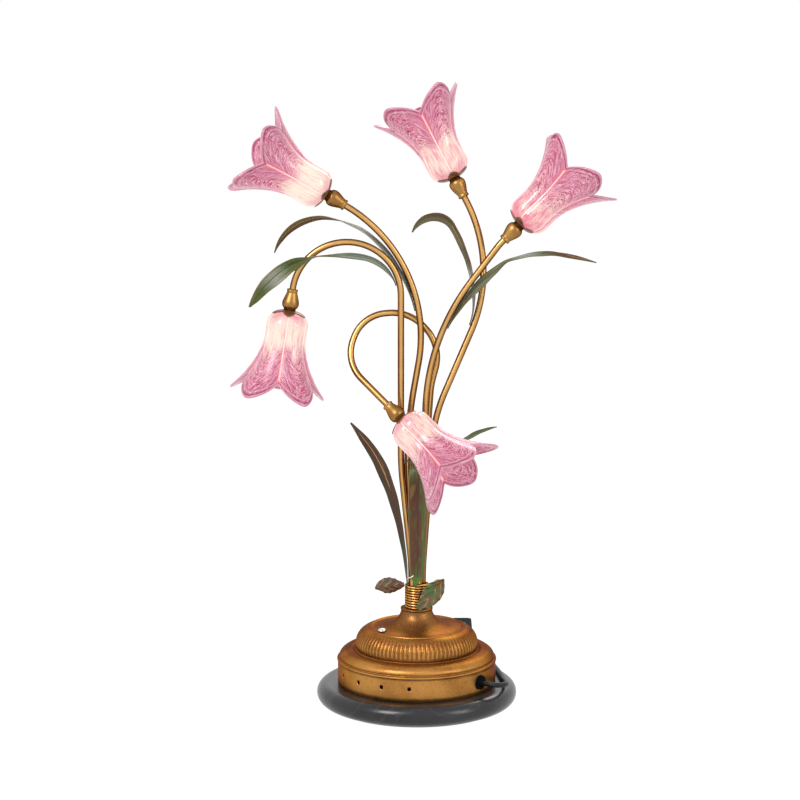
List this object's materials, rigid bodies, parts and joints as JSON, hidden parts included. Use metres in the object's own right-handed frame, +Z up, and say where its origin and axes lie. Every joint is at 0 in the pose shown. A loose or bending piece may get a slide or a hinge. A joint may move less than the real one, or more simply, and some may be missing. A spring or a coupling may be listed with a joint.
{
  "type": "bedside table lamp",
  "caption": "Flower table lamp: bent gold stems with glass lily shades and painted leaves on a domed metal base over a round stone foot, with a switched mains cord.",
  "frame": {"origin": "centre of the underside of the base, where the lamp stands on the table", "axes": "+Z up, -Y towards the viewer who faces the front screw and vents, +X to the right"},
  "size_m": [0.3793, 0.4129, 0.6176],
  "materials": {
    "felt": "dense felt",
    "stone": "polished black stone",
    "gold_paint": "antique gold paint with fine grain",
    "turned_brass": "satin turned brass",
    "winding_tape": "wound insulating tape",
    "zinc": "zinc plated",
    "white_plastic": "matt",
    "brass_wire": "drawn wire",
    "bronze_sheet": "dark bronze",
    "shade_glass": "swirled pink and white art glass",
    "steatite": "unglazed",
    "bulb_glass": "frosted capsule, lit",
    "leaf_paint": "green with red-brown and gold edges",
    "cast_paint": "cast, maroon and green paint",
    "cord_rubber": "smooth black",
    "black_plastic": "glossy black",
    "rocker_plastic": "matt black",
    "pin_metal": "nickel plated"
  },
  "bodies": {
    "lamp": {"felt_pad": "felt", "stone_base": "stone", "base_dome": "gold_paint", "transformer": "winding_tape", "transformer_strap": "zinc", "shoulder_screws": "zinc", "tie_rod": "zinc", "tie_nuts": "zinc", "wiring_block": "white_plastic", "stem_socket": "turned_brass", "wire_winding": "brass_wire", "stem_a": "gold_paint", "stem_b": "gold_paint", "stem_c": "gold_paint", "stem_d": "gold_paint", "stem_e": "gold_paint", "cup_a": "turned_brass", "cup_b": "turned_brass", "cup_c": "turned_brass", "cup_d": "turned_brass", "cup_e": "turned_brass", "sepals_a": "bronze_sheet", "sepals_b": "bronze_sheet", "sepals_c": "bronze_sheet", "sepals_d": "bronze_sheet", "sepals_e": "bronze_sheet", "glass_shade_a": "shade_glass", "glass_shade_b": "shade_glass", "glass_shade_c": "shade_glass", "glass_shade_d": "shade_glass", "glass_shade_e": "shade_glass", "lamp_holder_a": "steatite", "lamp_holder_b": "steatite", "lamp_holder_c": "steatite", "lamp_holder_d": "steatite", "lamp_holder_e": "steatite", "bulb_a": "bulb_glass", "bulb_b": "bulb_glass", "bulb_c": "bulb_glass", "bulb_d": "bulb_glass", "bulb_e": "bulb_glass", "leaf_a": "leaf_paint", "leaf_b": "leaf_paint", "leaf_c": "leaf_paint", "leaf_d": "leaf_paint", "leaf_e": "leaf_paint", "leaf_left": "leaf_paint", "leaf_front": "leaf_paint", "cast_leaf_left": "cast_paint", "cast_leaf_right": "cast_paint", "cord_bush": "black_plastic", "cord_run_lamp": "cord_rubber", "cord_run_coil": "cord_rubber", "cord_coil": "cord_rubber", "cord_run_plug": "cord_rubber", "switch_base": "black_plastic", "switch_cover": "black_plastic", "plug_body": "black_plastic", "plug_pins": "pin_metal"},
    "rocker": {"switch_rocker": "rocker_plastic"}
  },
  "joints": [
    {"name": "rocker_tilt", "type": "hinge", "parent": "lamp", "child": "rocker", "pos_m": [0.05, 0.243, 0.01], "axis": [1, 0, 0], "range_deg": [-16, 0]}
  ]
}
